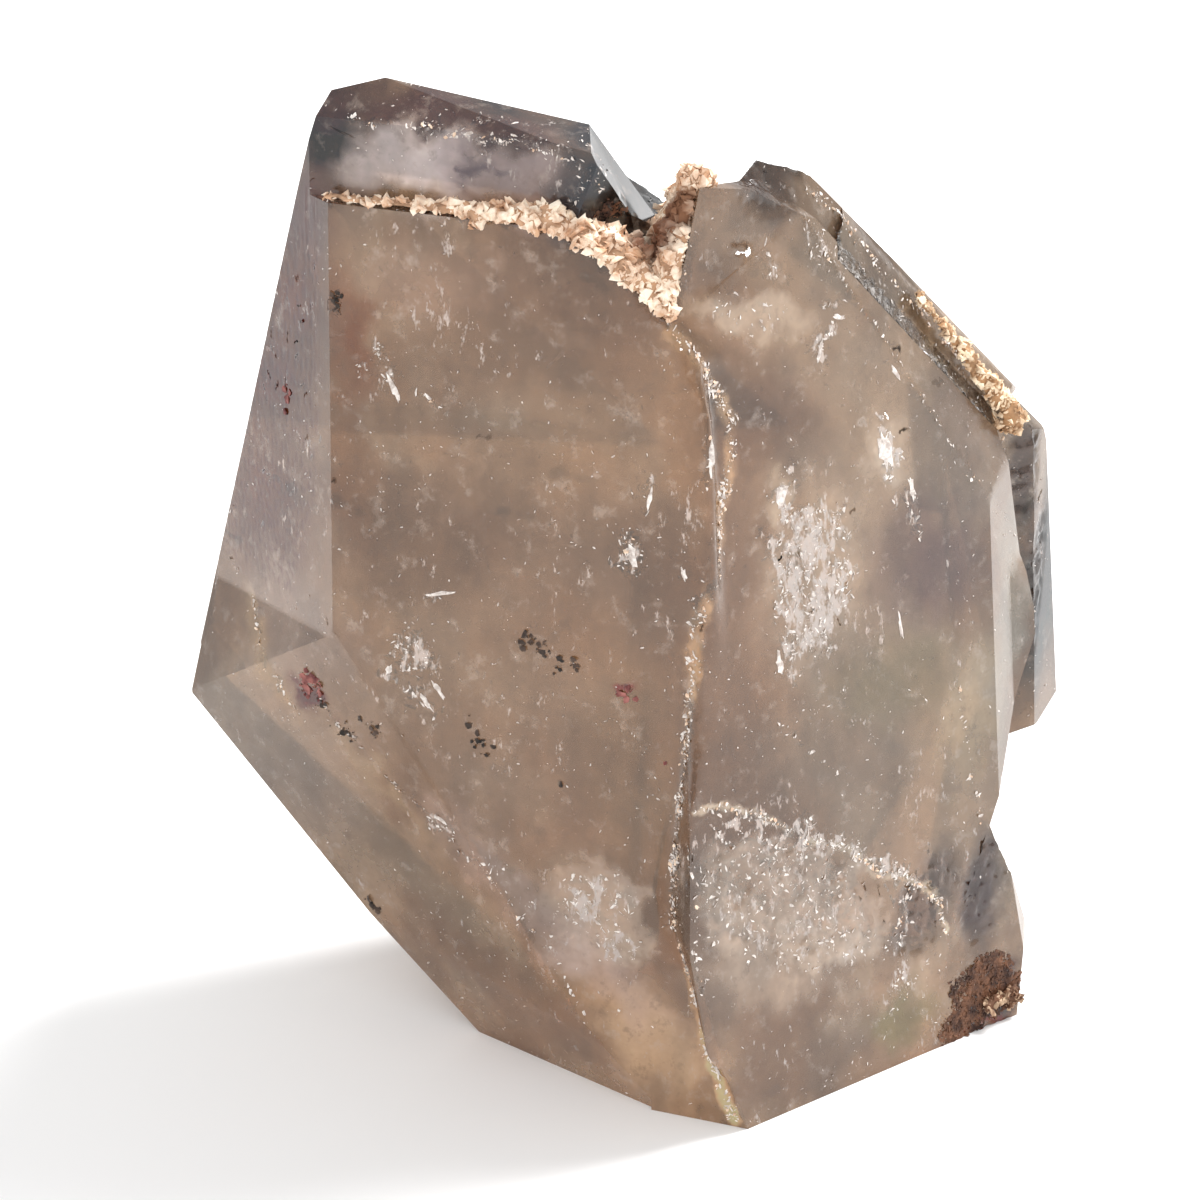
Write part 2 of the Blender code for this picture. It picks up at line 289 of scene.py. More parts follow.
# name, face, across and up in mm, half sizes in mm, turn in degrees, screen colour, strength, softness
tones = onFaces(
    1,
    "leftFront",
    ("haze under crown", -33.5, 82.4, 7.7, 3.5, 7, (172, 146, 132), 0.6, 0.6),
    ("brown under notch", -17.4, 83.0, 7.2, 5.1, -13, (132, 106, 88), 0.7, 0.7),
    ("rust by the edge", -42.8, 75.3, 2.1, 6.1, 5, (134, 92, 66), 0.9, 0.7),
    ("warm by the edge", -42.6, 62.7, 2.4, 9.3, 7, (142, 110, 86), 0.8, 0.7),
    ("dusk band", -27.4, 77.3, 10.3, 4.4, 17, (134, 110, 92), 0.7, 0.7),
    ("middle glow", -18.1, 67.7, 11.4, 7.2, 27, (158, 134, 114), 0.6, 0.7),
    ("dim above line", -35.9, 56.5, 8.2, 6.8, 36, (116, 94, 78), 0.8, 0.5),
    ("pale below line", -25.8, 41.5, 19.4, 13.0, 28, (142, 119, 101), 0.7, 0.5),
    ("warm low middle", -12.2, 33.4, 5.2, 11.7, 10, (152, 124, 98), 0.7, 0.7),
    ("warm foot", -11.5, 6.6, 8.0, 5.9, -10, (184, 158, 134), 0.8, 0.7),
    ("white cloud", -16.4, 20.7, 5.3, 5.4, -11, (186, 168, 156), 0.95, 0.14),
    ("orange by ridge", -8.2, 71.5, 3.1, 8.8, 9, (168, 134, 106), 0.7, 0.7),
    ("pale ridge line", -40.4, 29.5, 9.9, 1.2, -42, (180, 158, 134), 0.7, 0.6),
    "lowerLeft",
    ("lilac ledge", -21.9, 20.7, 14.7, 3.3, -36, (192, 170, 164), 0.8, 0.6),
    ("pale tip", -55.0, 44.0, 7.5, 9.5, 19, (184, 164, 152), 0.7, 0.7),
    ("grey heel", -49.7, 27.6, 7.2, 8.8, -40, (162, 142, 130), 0.7, 0.7),
    "lowerBevel",
    ("dim bevel", -25.2, 8.6, 16.6, 4.9, -22, (134, 110, 94), 0.9, 0.5),
    "leftFlank",
    ("dark crown edge", -42.9, 94.6, 5.0, 5.3, 15, (44, 34, 38), 0.9, 0.6),
    ("lilac upper flank", -45.0, 85.2, 7.0, 5.0, 16, (104, 76, 74), 0.9, 0.7),
    ("pink flank", -47.2, 76.0, 7.5, 6.1, 16, (114, 68, 46), 0.9, 0.7),
    ("brown flank", -50.2, 66.3, 8.2, 5.2, 18, (104, 60, 38), 0.9, 0.7),
    ("lilac lower flank", -52.0, 53.6, 12.4, 8.6, 19, (98, 64, 50), 0.9, 0.7),
    ("white flank foot", -44.4, 43.9, 7.6, 5.6, 3, (152, 134, 126), 0.8, 0.7),
    ("flank ridge", -49.7, 37.6, 6.6, 1.5, -52, (176, 152, 126), 0.8, 0.6),
    "crownFront",
    ("white crown", -36.6, 93.2, 7.4, 3.6, 4, (228, 216, 222), 0.95, 0.3),
    ("grey crown", -26.4, 93.0, 7.4, 3.3, -3, (184, 168, 172), 0.9, 0.4),
    ("purple blot", -30.6, 93.0, 1.4, 0.9, -25, (96, 80, 92), 0.8, 0.4),
    ("dim crown right", -20.4, 92.6, 3.5, 3.9, -13, (88, 76, 76), 0.8, 0.6),
    ("rust crown corner", -15.9, 90.1, 3.2, 2.7, 7, (84, 56, 48), 0.9, 0.6),
    ("crown shadow band", -33.5, 97.2, 12.9, 0.8, -1, (92, 72, 72), 0.8, 0.5),
    "crownSlope",
    ("dark slope", -35.0, 70.0, 15.0, 3.0, -1, (98, 76, 72), 0.9, 0.6),
    "rightFront",
    ("pale knob side", 8.2, 89.6, 7.4, 2.8, -12, (176, 150, 132), 0.8, 0.7),
    ("lens", 8.2, 80.9, 7.0, 1.7, -22, (204, 188, 176), 0.9, 0.5),
    ("brown by ridge", 3.6, 73.8, 4.4, 6.7, -13, (144, 116, 94), 0.7, 0.7),
    ("dark heart", 9.2, 70.5, 7.6, 5.3, -13, (106, 82, 66), 0.85, 0.7),
    ("dim under heart", 5.4, 60.6, 4.2, 6.8, -14, (130, 104, 84), 0.7, 0.7),
    ("bright spark bed", 23.6, 64.1, 2.4, 4.0, 7, (206, 192, 182), 0.85, 0.6),
    ("lilac haze", 28.3, 51.7, 6.8, 6.1, -14, (98, 76, 74), 0.85, 0.7),
    ("feather bed", 13.4, 52.5, 5.7, 9.0, -11, (180, 162, 148), 0.8, 0.5),
    ("feather top", 10.2, 62.2, 1.6, 2.5, -14, (196, 180, 166), 0.85, 0.5),
    ("green haze", 23.4, 40.5, 8.4, 4.7, -15, (128, 116, 92), 0.7, 0.7),
    ("grey haze", 16.3, 34.2, 12.4, 4.9, -24, (142, 125, 112), 0.7, 0.7),
    ("brown left low", 1.8, 42.5, 3.8, 8.0, -15, (130, 104, 84), 0.7, 0.7),
    ("frost field", 7.4, 21.6, 13.8, 6.0, -33, (192, 174, 162), 0.95, 0.12),
    ("frost foot", 3.1, 16.2, 8.1, 4.1, -19, (178, 158, 144), 0.7, 0.6),
    ("foot", 7.1, 3.6, 10.8, 4.4, 2, (106, 86, 72), 0.85, 0.6),
    ("dark cleft", 24.8, 16.2, 3.7, 6.2, -41, (104, 86, 78), 0.85, 0.5),
    ("grey corner", 32.9, 14.7, 3.7, 5.9, -17, (82, 62, 56), 0.9, 0.6),
    ("green corner", 20.5, 5.0, 4.0, 3.0, 7, (112, 102, 76), 0.8, 0.6),
    ("rust corner", 32.0, 2.8, 4.4, 3.7, -1, (70, 32, 20), 1.0, 0.4),
    ("rust lip", 29.0, 0.2, 3.9, 1.3, -3, (142, 80, 48), 0.9, 0.5),
    "rightSide",
    ("pale side band", 31.2, 32.4, 3.9, 6.8, -24, (180, 164, 144), 0.8, 0.6),
    ("white side band", 39.8, 41.9, 2.8, 12.5, -21, (156, 147, 138), 0.85, 0.6),
    "upperRight",
    ("upper slope", 30.4, 69.9, 10.4, 11.7, 4, (146, 128, 114), 0.7, 0.7),
    ("pale slope foot", 37.1, 59.4, 5.3, 5.3, 3, (158, 138, 126), 0.7, 0.7),
    "flankCrystal",
    # painted reflection: the smooth flank face is painted dark grey-green, standing in for the dark
    # surroundings it mirrors
    ("smooth flank face", 54.8, 41.5, 3.4, 15.0, -21, (62, 64, 62), 1.0, 0.7),
    "crownSlope",
    ("top bevel", -27.0, 73.5, 13.0, 2.2, -5, (76, 64, 64), 0.9, 0.5),
    # painted reflection: the steep right crown facets are painted dark grey, standing in for dark
    # surroundings mirrored in them
    "crownRight",
    ("right bevel", 37.5, 61.5, 9.0, 9.0, 0, (60, 56, 58), 0.95, 0.5),
    "crownSide",
    ("crown side strip", 17.5, 87.5, 9.0, 7.0, 0, (60, 56, 60), 1.0, 0.3),
    "upperRight",
    ("knob top", 18.5, 89.6, 7.0, 3.6, 0, (96, 76, 66), 0.8, 0.6),
    "flankCrystal",
    ("rough flank part", 49.5, 52.0, 2.6, 7.0, -15, (84, 66, 58), 0.9, 0.5),
    ("rough flank seam", 50.5, 36.0, 2.2, 12.0, -15, (92, 72, 60), 0.9, 0.5),
    "lowerBevel",
    ("red inclusion", -47.6, 38.6, 2.0, 2.2, 0, (92, 36, 32), 0.95, 0.4),
    "leftFront",
    ("red speck", -14.0, 44.3, 0.9, 0.6, 15, (128, 48, 38), 0.9, 0.4),
)
lines = {  # half width in mm, thickness, then face, across and up of the points
    "ridge seam": (0.7, 1.0, onFaces(0, "leftFront", (-10.5, 81.1), "rightFront", (1.5, 77.0),
        (5.0, 71.7), (3.8, 66.4), (2.1, 61.9), (1.0, 57.3), "leftFront", (-6.9, 52.3), (-7.0, 44.6),
        (-7.1, 34.3), (-7.0, 23.7), (-6.4, 17.6), (-5.4, 12.2), (-4.0, 7.0), (-1.4, 0.9))),
    "upper blade": (0.5, 1.0, onFaces(0, "leftFront", (-6.0, 71.4), (-6.0, 68.5), (-6.3, 65.6))),
    "lower blade": (0.9, 1.0, onFaces(0, "leftFront", (-12.8, 57.6), (-14.1, 60.2))),
    "frost rim": (0.4, 1.0, onFaces(0, "rightFront", (-3.4, 35.0), (1.0, 33.9), (6.3, 30.7),
        (10.3, 27.4), (15.5, 25.2), (17.7, 22.4), (23.0, 19.6), (26.8, 16.1), (27.2, 12.7))),
    "frost left": (0.35, 0.6, onFaces(0, "rightFront", (-4.0, 30.9), (-4.3, 25.9), (-4.5, 20.8),
        (-4.0, 15.3))),
    "crown line": (0.35, 0.9, onFaces(0, "crownFront", (-44.2, 96.8), (-35.5, 96.8), (-31.4, 96.1),
        (-26.4, 96.5), (-22.4, 95.4), (-17.2, 92.0))),
    "slope crack": (0.6, 0.9, onFaces(0, "upperRight", (22.0, 86.8), (25.3, 84.2), (27.0, 80.1),
        (29.9, 75.6), (33.6, 71.4), (38.2, 65.2), (42.3, 61.5))),
    "slope foot crack": (0.3, 0.8, onFaces(0, "upperRight", (44.0, 56.0), (45.8, 53.3))),
    "edge line": (0.28, 0.5, onFaces(0, "rightFront", (14.9, 89.3), (20.4, 80.8), (26.6, 71.4),
        (35.3, 57.7))),
    "pale line": (0.22, 0.5, onFaces(0, "rightFront", (7.3, 40.4), (10.2, 37.5), (14.9, 33.0))),
    "side line": (0.28, 0.5, onFaces(0, "rightFront", (31.0, 38.4), (32.0, 29.6), (33.3, 22.2))),
    "veil line": (0.2, 0.5, onFaces(0, "leftFront", (-40.7, 75.5), (-37.6, 73.0), (-34.5, 70.9),
        (-31.3, 68.3))),
    "cleft line": (0.5, 0.6, onFaces(0, "rightFront", (19.0, 12.0), (21.4, 15.6), (23.7, 19.2))),
    "cleft foot": (0.4, 0.6, onFaces(0, "rightFront", (25.0, 10.1), (21.3, 6.9))),
    "flank ridge line": (0.4, 0.6, onFaces(0, "leftFlank", (-53.8, 42.8), (-51.9, 40.6), (-49.3, 38.3),
        (-45.4, 32.7))),
    "lower ridge line": (0.25, 0.5, onFaces(0, "lowerLeft", (-46.9, 38.6), (-38.0, 31.4), (-27.5, 24.4),
        (-20.0, 18.1), (-15.6, 8.2))),
}
paintedLines = {  # line: screen colour, strength
    "ridge seam": ((204, 172, 142), 0.85),
    "frost rim": ((226, 212, 198), 0.95),
    "flank ridge line": ((190, 164, 136), 0.7),
}
roughness = {  # depth of the broken surface there, mm
    "rust crown corner": 0.5, "right bevel": 0.3, "dark cleft": 0.35, "grey corner": 0.25,
    "rust corner": 0.3, "frost field": 0.3, "rough flank part": 0.35, "rough flank seam": 0.3,
    "knob top": 0.3}
bodyTones = [(146, 121, 102), (124, 100, 83), (160, 139, 122)]  # grain of the whole stone
tonePlay = {  # lump sizes in mm, and how strongly each kind of unevenness shows
    "broadSize": 22.0,
    "fineSize": 7.0,
    "wobbleSize": 3.2,
    "wobble": 1.6,
    "contrast": 1.35,
    "cloudSize": 6.5,
    "cloudy": 0.16,
    "streakSize": 2.4,
    "streaky": 0.17,
    "warmSize": 9.0,
    "warm": 0.06,
    # painted light: the tones are lightened towards the foot, up to this height in mm and by this share
    "footHeight": (26.0, 2.0),
    "paintedFootLight": 0.85,
    "underside": (0.9, 0.84, 0.78),
    "tint": (0.98, 0.92, 0.795),
}


def localParts(places, face, across, up, halfWide, halfHigh, turn, halfDeep=5.0):
    # how far each point lies from the middle of an oval on a face, 1 at its rim
    outward, right, rise, distance = faceAxes(face)
    centre = np.array(facePoint(face, across, up))
    lean = math.radians(turn)
    wide = np.array(right) * math.cos(lean) + np.array(rise) * math.sin(lean)
    high = np.array(rise) * math.cos(lean) - np.array(right) * math.sin(lean)
    away = (places - centre) / mm
    return np.sqrt((away @ wide / halfWide) ** 2 + (away @ high / halfHigh) ** 2
                   + (away @ np.array(outward) / halfDeep) ** 2)


def lineDistance(places, path):
    # distance in mm to a broken line through the given face points
    stops = [np.array(facePoint(*stop)) for stop in path]
    best = np.full(len(places), 9.0)
    for first, second in zip(stops, stops[1:]):
        along = second - first
        share = np.clip((places - first) @ along / (along @ along), 0, 1)
        best = np.minimum(best, np.linalg.norm(places - first - share[:, None] * along, axis=1) / mm)
    return best


def evenOut(bm, merge):
    # turns edges inside flat parts so that no thin slivers stay, and merges what is closer than merge
    bmesh.ops.remove_doubles(bm, verts=bm.verts[:], dist=merge)
    bmesh.ops.dissolve_degenerate(bm, dist=merge * 0.3, edges=bm.edges[:])
    bmesh.ops.triangulate(bm, faces=[face for face in bm.faces if len(face.verts) > 3])
    flat = [edge for edge in bm.edges if len(edge.link_faces) == 2 and edge.calc_face_angle(0.0) < 0.01]
    bmesh.ops.beautify_fill(bm, faces=bm.faces[:], edges=flat, method="ANGLE")


def refine(bm, wanted, merge=0.0):
    # cuts long edges in two until each is as short as wanted says at its middle
    for step in range(10):
        if merge:
            evenOut(bm, merge)
        edges = bm.edges[:]
        ends = np.array([(*edge.verts[0].co, *edge.verts[1].co) for edge in edges])
        lengths = np.linalg.norm(ends[:, :3] - ends[:, 3:], axis=1)
        tooLong = lengths > wanted((ends[:, :3] + ends[:, 3:]) / 2)
        if not tooLong.any():
            break
        bmesh.ops.subdivide_edges(bm, edges=[edges[index] for index in np.nonzero(tooLong)[0]], cuts=1)
        bmesh.ops.triangulate(bm, faces=[face for face in bm.faces if len(face.verts) > 3])


def flankParts(places):
    outward, right, rise, distance = faceAxes("leftFlank")
    local = places / mm - np.array(frontFoot)
    return local @ np.array(right), local @ np.array(rise), np.abs(local @ np.array(outward) - distance)


def faceGap(places, face):
    outward, right, rise, distance = faceAxes(face)
    return np.abs((places / mm - np.array(frontFoot)) @ np.array(outward) - distance)


finelyPainted = ("white cloud", "frost field", "feather bed", "bright spark bed", "red inclusion",
                 "red speck")


def stoneCells(middles):
    sizes = np.full(len(middles), quartz["cell"])
    for face in ("leftFront", "rightFront", "lowerLeft", "lowerBevel", "upperRight", "crownFront"):
        sizes[faceGap(middles, face) < 0.8] = quartz["frontCell"]
    for row in tones:
        if row[0] in finelyPainted:
            sizes[localParts(middles, *row[1:7]) < 1.25] = quartz["veilCell"]
    for row in roughTones:
        sizes[localParts(middles, *row[1:7]) < 1.25] = quartz["roughCell"]
    for name in paintedLines:
        sizes[lineDistance(middles, lines[name][2]) < quartz["seamReach"]] = quartz["seamCell"]
    across, height, off = flankParts(middles)
    pitted = (off < 0.6) & (height > flank["pitsFrom"] - 2) & (height < flank["pitsTo"] + 2)
    sizes[pitted] = quartz["pitCell"]
    return sizes * mm


roughTones = [row for row in tones if row[0] in roughness]
bm = bmesh.new()
bm.from_mesh(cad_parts["quartz_cluster"].data)
bmesh.ops.remove_doubles(bm, verts=bm.verts[:], dist=quartz["weld"] * mm)
bmesh.ops.dissolve_degenerate(bm, dist=0.05 * mm, edges=bm.edges[:])
bmesh.ops.dissolve_limit(bm, angle_limit=math.radians(quartz["flatAngle"]), verts=bm.verts[:],
                         edges=bm.edges[:])
openEdges = sum(1 for edge in bm.edges if len(edge.link_faces) != 2)
rounded = math.radians(quartz["ridgeAngle"])
ridges = [e for e in bm.edges if len(e.link_faces) == 2 and e.calc_face_angle(0.0) > rounded
          and e.calc_length() > 0.8 * mm]
bmesh.ops.bevel(bm, geom=ridges, offset=quartz["edgeRound"] * mm, segments=2, profile=0.5,
                affect="EDGES", clamp_overlap=True)
bmesh.ops.triangulate(bm, faces=[face for face in bm.faces if len(face.verts) > 3])
refine(bm, stoneCells, quartz["merge"] * mm)
rims = [edge for edge in bm.edges if len(edge.link_faces) == 1]
bmesh.ops.holes_fill(bm, edges=rims, sides=8)
bmesh.ops.triangulate(bm, faces=[face for face in bm.faces if len(face.verts) > 3])
for face in bm.faces:
    face.smooth = True
for edge in bm.edges:
    edge.smooth = edge.calc_face_angle(0.0) < math.radians(quartz["sharpAngle"])
stoneMesh = meshFrom("quartz_stone", bm)
print("stone cut:", len(stoneMesh.polygons), "triangles, open edges", openEdges)


def layLevel(places, face):
    # lays what stands proud of a face back onto it, and says where it did
    leftEnd, rightEnd, topEnd, tallest = levelled[face]
    outward, right, rise, distance = [np.array(part) for part in faceAxes(face)]
    local = places / mm - np.array(frontFoot)
    above = np.maximum(local @ outward - distance, 0.0)
    share = smooth(*leftEnd, local @ right) * smooth(*topEnd, local @ rise) * (above < tallest)
    share = share * smooth(*rightEnd, local @ right)
    return places - outward * (above * share * mm)[:, None], share * (above > 0.05)


def softenRidge(mesh):
    # evens out the sharp facets beside the front ridge
    places = points(mesh)
    pairs = np.empty(len(mesh.edges) * 2, dtype=np.int64)
    mesh.edges.foreach_get("vertices", pairs)
    pairs = pairs.reshape(-1, 2)
    low, high = np.array(facePoint(*ridge["foot"])), np.array(facePoint(*ridge["head"]))
    along = (high - low) / np.linalg.norm(high - low)
    reach = places - low
    height = reach @ along
    away = np.linalg.norm(reach - height[:, None] * along, axis=1)
    share = smooth(*inMetres(ridge["reach"]), away) * smooth(*inMetres(ridge["start"]), height)
    share = share * smooth(*inMetres(ridge["end"]), height)
    lower = smooth(*ridge["lowReach"], lineDistance(places, lines["ridge seam"][2]))
    lower = lower * smooth(*inMetres(ridge["lowStart"]), places[:, 2])
    share = np.maximum(share, lower * smooth(*inMetres(ridge["lowEnd"]), places[:, 2]))
    count = np.zeros(len(places))
    np.add.at(count, pairs.ravel(), 1)
    for step in range(ridge["steps"]):
        total = np.zeros(places.shape)
        np.add.at(total, pairs[:, 0], places[pairs[:, 1]])
        np.add.at(total, pairs[:, 1], places[pairs[:, 0]])
        places = places + (total / count[:, None] - places) * (ridge["pull"] * share)[:, None]
    for face in levelled:
        places, pressed = layLevel(places, face)
        share = np.maximum(share, pressed)
    movePoints(mesh, places)
    for index in np.nonzero(share[pairs].min(axis=1) > 0.2)[0]:
        mesh.edges[int(index)].use_edge_sharp = False


def shapeStone(mesh):
    places, outwards = points(mesh), normals(mesh)
    across, height, off = flankParts(places)
    zone = (off < 0.5) * smooth(flank["pitsFrom"], flank["pitsFrom"] + 4, height)
    zone = zone * smooth(flank["pitsTo"], flank["pitsTo"] - 6, height)
    zone = zone * smooth(*flank["rightEnd"], across + np.clip(58 - height, 0, 20) * 0.35)
    streaked = np.maximum(0.0, height - flank["streaksFrom"])
    row = (height - streaked) / flank["pitHeight"] + streaked / flank["streakHeight"]
    bend = flank["bend"] * noiseAt(places, flank["bendSize"] * mm, 2, 13)
    near = cellDistance(across / flank["pitWidth"] + flank["slant"] * row + bend, row + bend, 5)
    pits = zone * smooth(*flank["rim"], near)
    grain = np.zeros(len(places))
    for name, *oval in roughTones:
        reach = localParts(places, *oval[:6])
        grain = np.maximum(grain, roughness[name] * smooth(1.2, 0.75, reach))
    coarse = np.abs(noiseAt(places, crags["size"] * mm, 4, 2))
    broken = coarse + crags["fineShare"] * np.abs(noiseAt(places, crags["fineSize"] * mm, 2, 4))
    broken = grain * np.clip(broken, 0, 1)
    movePoints(mesh, places - outwards * ((pits * flank["pitDepth"] + broken) * mm)[:, None])
    return places, pits, broken


def paintStone(mesh, places, pits, grain):
    broad = noiseAt(places, tonePlay["broadSize"] * mm, 3, 1)
    fine = noiseAt(places, tonePlay["fineSize"] * mm, 4, 3)
    base = [screenColour(*tone) for tone in bodyTones]
    colours = base[0] + (base[1] - base[0]) * smooth(0.0, 0.55, broad)[:, None]
    colours = colours + (base[2] - colours) * smooth(0.0, 0.5, -broad + 0.5 * fine)[:, None]
    shifted = places + wander(places, tonePlay["wobbleSize"] * mm, 4, 5) * tonePlay["wobble"] * mm
    for name, face, across, up, halfWide, halfHigh, turn, colour, strength, soft in tones:
        reach = localParts(shifted, face, across, up, halfWide, halfHigh, turn)
        share = strength * smooth(1.0 + soft, 1.0 - soft, reach)
        colours = colours + (screenColour(*colour) - colours) * share[:, None]
    frayed = places + wander(places, 1.6 * mm, 3, 91) * 0.5 * mm
    for name, (colour, strength) in paintedLines.items():
        reach = lineDistance(frayed, lines[name][2]) / lines[name][0]
        patchy = smooth(-0.7, 0.3, noiseAt(places, 5 * mm, 2, 97))
        share = strength * smooth(1.5, 0.6, reach) * (0.35 + 0.65 * patchy)
        colours = colours + (screenColour(*colour) - colours) * share[:, None]
    colours = base[0] + (colours - base[0]) * tonePlay["contrast"]
    streak = noiseAt(places * np.array([1.0, 1.0, 0.3]), tonePlay["streakSize"] * mm, 3, 71)
    cloudy = noiseAt(shifted, tonePlay["cloudSize"] * mm, 3, 73)
    mottle = 1 + tonePlay["cloudy"] * cloudy + tonePlay["streaky"] * streak
    colours = colours * np.clip(mottle, 0.45, 1.7)[:, None]
    warmth = noiseAt(shifted, tonePlay["warmSize"] * mm, 3, 79)[:, None]
    colours = colours * (1 + tonePlay["warm"] * warmth * np.array([1.0, 0.0, -1.2]))
    # painted light: the lower stone is painted lighter towards the foot
    footLit = smooth(*inMetres(tonePlay["footHeight"]), places[:, 2])
    colours = colours * (1 + tonePlay["paintedFootLight"] * footLit)[:, None]
    colours = colours * np.array(tonePlay["tint"])
    # the underside is painted pale so that it throws light back up into the foot
    colours[normals(mesh)[:, 2] < -0.9] = tonePlay["underside"]
    colours = colours * (1 - pits[:, None] * np.array(flank["shade"]))
    # painted shade: the broken patches are darkened the deeper they sink
    colours = colours * (1 - np.clip(grain, 0, crags["hollowShade"])[:, None])
    colours = np.clip(colours, 0.01, 0.96)
    writeColour(mesh, "tone", colours)


softenRidge(stoneMesh)
stonePlaces, stonePits, stoneGrain = shapeStone(stoneMesh)
paintStone(stoneMesh, stonePlaces, stonePits, stoneGrain)
print("stone shaped and toned")

# the quartz: material
quartzLook = {
    "gain": 0.855,  # brightness of the painted tones, and how much it varies
    "grain": 0.05,
    "grainScale": 1100.0,
    "coat": 0.08,
    "gloss": (0.14, 0.22),  # lowest and highest roughness
    "wispScale": 480.0,
    "fibreScale": 1000.0,
    "torn": (0.45, 0.78),  # where the white of the veils begins and is full
    "bumpScale": 110.0,
    "bumpStrength": 0.025,
    "depthColour": (0.8, 0.66, 0.53, 1.0),
    "depthDensity": 60.0,
    "transmission": 0.56,
    "paleWisps": 0.3,
    "darkWisps": 0.35,
    "paleColour": (0.8, 0.7, 0.62, 1.0),
    "darkColour": (0.13, 0.085, 0.06, 1.0),
    "veilColour": (0.77, 0.69, 0.64, 1.0),
    "fibreStretch": 0.45,
}


def quartzMaterial():
    material, tree, shader = newMaterial(
        "smoky_quartz", IOR=1.544, Transmission_Weight=quartzLook["transmission"],
        Coat_Weight=quartzLook["coat"], Coat_Roughness=0.05, Coat_IOR=1.5)
    place = addNode(tree, "ShaderNodeTexCoord").outputs["Object"]
    tone = addNode(tree, "ShaderNodeVertexColor", layer_name="tone").outputs["Color"]
    veil = addNode(tree, "ShaderNodeAttribute", attribute_name="veil").outputs["Fac"]
    fine = noiseNode(tree, place, quartzLook["grainScale"], 1.0, 0.65)
    gain = rangeNode(tree, fine, 0.3, 0.7, quartzLook["gain"] - quartzLook["grain"],
                     quartzLook["gain"] + quartzLook["grain"])
    lit = addNode(tree, "ShaderNodeVectorMath", [(0, tone), ("Scale", gain)], operation="SCALE").outputs[0]
    cloud = noiseNode(tree, place, quartzLook["wispScale"], 4.0, 0.72)
    clouded = mixColour(tree, rangeNode(tree, cloud, 0.56, 0.72, 0.0, quartzLook["paleWisps"]), lit,
                        quartzLook["paleColour"])
    shaded = mixColour(tree, rangeNode(tree, cloud, 0.44, 0.3, 0.0, quartzLook["darkWisps"]), clouded,
                       quartzLook["darkColour"])
    stretched = addNode(tree, "ShaderNodeVectorMath", [
        (0, place), (1, (1.0, 1.0, quartzLook["fibreStretch"]))], operation="MULTIPLY").outputs[0]
    fibres = noiseNode(tree, stretched, quartzLook["fibreScale"], 3.0, 0.75)
    torn = mathNode(tree, "ADD", mathNode(tree, "MULTIPLY", veil, 0.7),
                    mathNode(tree, "MULTIPLY", mathNode(tree, "SUBTRACT", fibres, 0.5), 2.8))
    white = rangeNode(tree, torn, *quartzLook["torn"], 0.0, 0.95)
    frosted = mixColour(tree, white, shaded, quartzLook["veilColour"])
    tree.links.new(frosted, shader.inputs["Base Color"])
    tree.links.new(rangeNode(tree, cloud, 0.3, 0.7, *quartzLook["gloss"]), shader.inputs["Roughness"])
    bump = addNode(tree, "ShaderNodeBump", [
        ("Height", noiseNode(tree, place, quartzLook["bumpScale"], 1.0)),
        ("Strength", quartzLook["bumpStrength"]), ("Distance", 0.0005)])
    tree.links.new(bump.outputs["Normal"], shader.inputs["Normal"])
    inside = addNode(tree, "ShaderNodeVolumeAbsorption", [
        ("Color", quartzLook["depthColour"]), ("Density", quartzLook["depthDensity"])])
    tree.links.new(inside.outputs["Volume"], tree.nodes["Material Output"].inputs["Volume"])
    return material


stone = newObject("quartz_stone", stoneMesh)
stoneMesh.materials.append(quartzMaterial())
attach(stone, "root")
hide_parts("quartz_cluster")
stoneTree = BVHTree.FromPolygons([v.co.copy() for v in stoneMesh.vertices],
                                 [tuple(p.vertices) for p in stoneMesh.polygons])
print("stone finished")


# shards scattered over a bed: veils, dust, specks and crust grains
def shardSet(name, count, sharpness, seed):
    draw = random.Random(seed)
    group = bpy.data.collections.new(name)
    for index in range(count):
        bm = bmesh.new()
        for corner in range(9):
            way = Vector((draw.uniform(-1, 1), draw.uniform(-1, 1), draw.uniform(-1, 1)))
            bm.verts.new(way.normalized() * draw.uniform(1 - sharpness, 1))
        hull = bmesh.ops.convex_hull(bm, input=bm.verts[:])
        bmesh.ops.delete(bm, geom=[v for v in hull["geom_interior"] if isinstance(v, bmesh.types.BMVert)],
                         context="VERTS")
        bmesh.ops.recalc_face_normals(bm, faces=bm.faces[:])
        mesh = meshFrom(f"{name}_{index}", bm)
        group.objects.link(bpy.data.objects.new(f"{name}_{index}", mesh))
    return group


